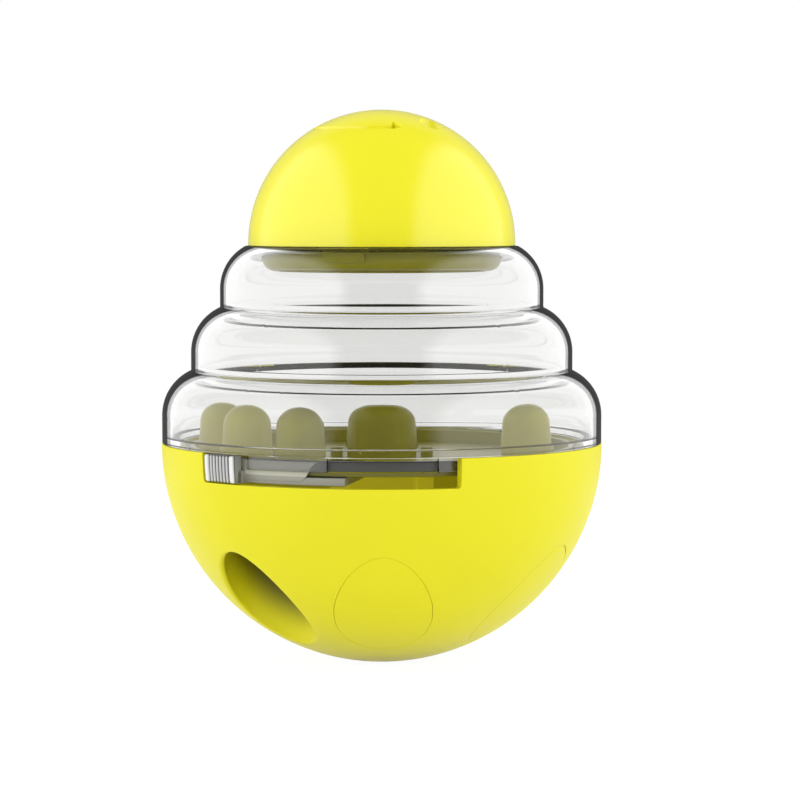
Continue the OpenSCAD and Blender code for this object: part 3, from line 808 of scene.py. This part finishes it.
def shell_outline(azimuth):
    """The wall's section, with a lug under the foot or a notch in the neck where they are."""
    lug = any(0 <= (azimuth - start) % 360 <= lug_span for start in lug_starts)
    notch = any(abs((azimuth - middle + 180) % 360 - 180) <= notch_half for middle in notch_middles)
    foot, foot_top = rim_z + foot_lift, rim_z + foot_h
    under, lug_soft = (rim_z - lug_drop, 0.2) if lug else (foot - 0.02, 0.004)
    bore, notch_soft = (notch_bore, 0.01) if notch else (neck_bore, 0.2)
    return rounded(
        [(lug_in, under, lug_soft), (lug_out, under, lug_soft), (lug_out, foot, 0),
         (shell_r, foot, 0.2)]
        + shell_outer + [(bore, neck_z, 0.2), (bore, neck_z - neck_flange, notch_soft)] + shell_inner
        + [(shell_r - shell_wall, foot_top, 0.4), (lug_in, foot_top, 0.2)], 4)


def clear_finish(name, painted_dark_edge):
    """Clear polystyrene. On the outside, where the wall is seen edge on, a painted dark edge turns it
    grey, then dark, in place of the dark room that the wall shows there.
    """
    material, skin, place = new_finish(name)
    flow = skin.node("ShaderNodeTexNoise", values={"Vector": place, "Scale": 30.0, "Detail": 2.0})
    wavy = skin.node("ShaderNodeBump", values={
        "Strength": 0.05, "Distance": 0.00002, "Height": flow})
    surface = skin.node("ShaderNodeBsdfPrincipled", values={
        "Base Color": (0.92, 0.92, 0.915, 1), "Roughness": 0.0, "IOR": 1.56,
        "Transmission Weight": 1.0, "Normal": wavy})
    if painted_dark_edge:
        # Painted dark edge: a near-black finish mixed in where the wall is seen edge on.
        grazing = skin.node("ShaderNodeLayerWeight", values={"Blend": 0.5}, out="Facing")
        edge = 0.5 * (skin.step(grazing, 0.715, 0.745) + skin.step(grazing, 0.77, 0.80))
        near_black = skin.node("ShaderNodeBsdfPrincipled", values={
            "Base Color": (0.014, 0.014, 0.014, 1), "Roughness": 0.5, "Specular IOR Level": 0.1})
        surface = skin.node("ShaderNodeMixShader", values={"Fac": edge, 1: surface, 2: near_black})
    skin.surface(surface)
    return material


shell_edges = [start + end for start in lug_starts for end in (0, lug_span)]
shell_edges += [middle + side for middle in notch_middles for side in (-notch_half, notch_half)]
shell_turns = sorted({360 * i / 288 for i in range(288)}
                     | {edge + side for edge in shell_edges for side in (-0.01, 0.01)})
clear_shell = made("clear_shell_skin", turned(shell_outline, shell_turns, whole=True))
finished(clear_shell, clear_finish("clear_shell_finish", True), "chamber",
         "clear_shell")
clear_shell.data.materials.append(clear_finish("clear_inside_finish", False))
for face in clear_shell.data.polygons:
    outward = Vector((face.center.x, face.center.y, 0)).normalized() + Vector((0, 0, 1))
    face.material_index = int(face.normal.dot(outward) < 0)


# Cap seal and liner: a dark soft ring between the dome and the neck, and the yellow collar under the
# dome whose two lugs turn under the neck's flange. Three screws hold the collar up in the dome.

liner_r, liner_foot_r, liner_bore, liner_screw_r = 27.2, 23.6, 25.4, 20.2
liner_foot, liner_edge, liner_step, liner_deck, liner_top = 89.2, 89.8, 91.6, 96.5, 98.1
bend_z, bend_in, bend_w, bend_h = 92.4, 24.2, 3.0, 3.2
lug_from, lug_to, lug_low, lug_high, lug_turn = 26.0, 29.0, 90.6, 92.6, 9


def rubber_finish(name):
    """Soft black-brown rubber with a fine matt grain."""
    material, skin, place = new_finish(name)
    grain = skin.node("ShaderNodeTexNoise", values={"Vector": place, "Scale": 900.0, "Detail": 3.0})
    skin.surface(skin.node("ShaderNodeBsdfPrincipled", values={
        "Base Color": skin.mixed(grain, srgb(38, 38, 34), srgb(58, 58, 52)),
        "Roughness": 0.62 + grain * 0.15, "Normal": skin.node("ShaderNodeBump", values={
            "Strength": 0.3, "Distance": 0.00003, "Height": grain})}))
    return material


nodes["cap_seal"].data.materials[0] = rubber_finish("seal_rubber_finish")
liner_outline = [(liner_r, liner_top), (liner_r, bend_z)]
liner_outline += [(bend_in + bend_w * math.cos(math.radians(a)),
                   bend_z - bend_h * math.sin(math.radians(a))) for a in range(10, 91, 10)]
liner_outline += [(liner_foot_r, liner_foot), (liner_foot_r, liner_edge), (liner_bore, liner_step),
                  (liner_bore, liner_deck), (liner_screw_r, liner_deck), (liner_screw_r, liner_top)]
cap_liner = made("cap_liner_skin", turned(liner_outline, steps=144))
lug_outline = rounded([(lug_from, lug_low, 0), (lug_to, lug_low, 0.3), (lug_to, lug_high, 0.3),
                       (lug_from, lug_high, 0)], 3)
added(cap_liner, *(turned(lug_outline, turns_from(middle - lug_turn, 2 * lug_turn, 2 * lug_turn))
                   for middle in reversed(notch_middles)))
finished(cap_liner, inner_yellow, "cap", "cap_liner")


# Cap dome: a glossy yellow half ball with an arc groove on top, a small notch at each of its ends and
# a countersunk hole. It turns a little to lock, and lifts off with its liner.

dome_r, dome_wall, dome_z = 30.3, 2.2, 94.7
lip_r, lip_drop = 30.03, 0.42
groove_in, groove_out, groove_from, groove_turn = 15.1, 16.4, 187, 94
notch_ring, notch_corner = 15.0, 1.7
hole_azimuth, hole_ring, hole_r, dish_depth = 322.0, 14.3, 1.8, 1.1
tool_low, tool_high = 112.0, 128.0
boss_azimuth, boss_ring, boss_bore, boss_r, boss_z = 30, 22.8, 1.3, 3.1, 98.2


def dome_height(radius, reach):
    return dome_z + math.sqrt(max(0.0, radius ** 2 - reach ** 2))


def in_dome_wall(x, y):
    return dome_height(29.0, math.hypot(x, y))


def notch_tool(azimuth):
    """A three-sided tool, straight up through the dome, with a corner that points to the axis."""
    x0, y0 = spot(azimuth, notch_ring)
    mesh = bmesh.new()
    low, high = ([mesh.verts.new(((x0 + notch_corner * math.cos(math.radians(azimuth + a))) * MM,
                                  (y0 + notch_corner * math.sin(math.radians(azimuth + a))) * MM,
                                  z * MM)) for a in (60, 180, 300)]
                 for z in (tool_low, tool_high))
    mesh.faces.new(low)
    mesh.faces.new(high)
    for i in range(3):
        j = (i + 1) % 3
        mesh.faces.new((low[i], low[j], high[j], high[i]))
    bmesh.ops.recalc_face_normals(mesh, faces=mesh.faces)
    return mesh


dome_yellow = moulded("dome_yellow_finish", srgb(247, 240, 36), rough=0.14, gloss=0.9, wave=0.08)
cap_dome = made("cap_dome_skin", turned(rounded(
    [(dome_r - dome_wall, dome_z, 0.2), (lip_r, dome_z, 0.05), (lip_r, dome_z - lip_drop, 0.05),
     (dome_r, dome_z - lip_drop, 0.1)]
    + unrounded(arc(dome_z, dome_r, 92, 180, 60))
    + unrounded(arc(dome_z, dome_r - dome_wall, 180, 92, 40)), 4), steps=288))
groove_outline = [(reach, dome_height(radius, reach)) for radius, reach in (
    (29.3, groove_in), (29.3, 15.45), (29.9, 15.8), (30.6, groove_out))]
groove_outline += [(groove_out, tool_high), (groove_in, tool_high)]
carved(cap_dome, turned(groove_outline, turns_from(groove_from, groove_turn, 96)))
for azimuth in (groove_from, groove_from + groove_turn):
    carved(cap_dome, notch_tool(azimuth))
dish_floor = dome_height(dome_r, hole_ring) - dish_depth
carved(cap_dome, round_about(spot(hole_azimuth, hole_ring), [
    (0.0, tool_low), (hole_r, tool_low), (hole_r, dish_floor - 0.35),
    *((reach, dish_floor + rise) for reach, rise in (
        (1.95, -0.1), (2.2, 0.0), (2.6, 0.35), (2.9, 1.2), (3.0, 6.0), (0.0, 6.0)))], steps=64))
added(cap_dome, *(round_about(spot(boss_azimuth + 120 * k, boss_ring), [
    (boss_bore, boss_z), (boss_r, boss_z), (boss_r, in_dome_wall), (boss_bore, in_dome_wall)],
    steps=32) for k in range(3)))
finished(cap_dome, dome_yellow, "cap", "cap_dome")
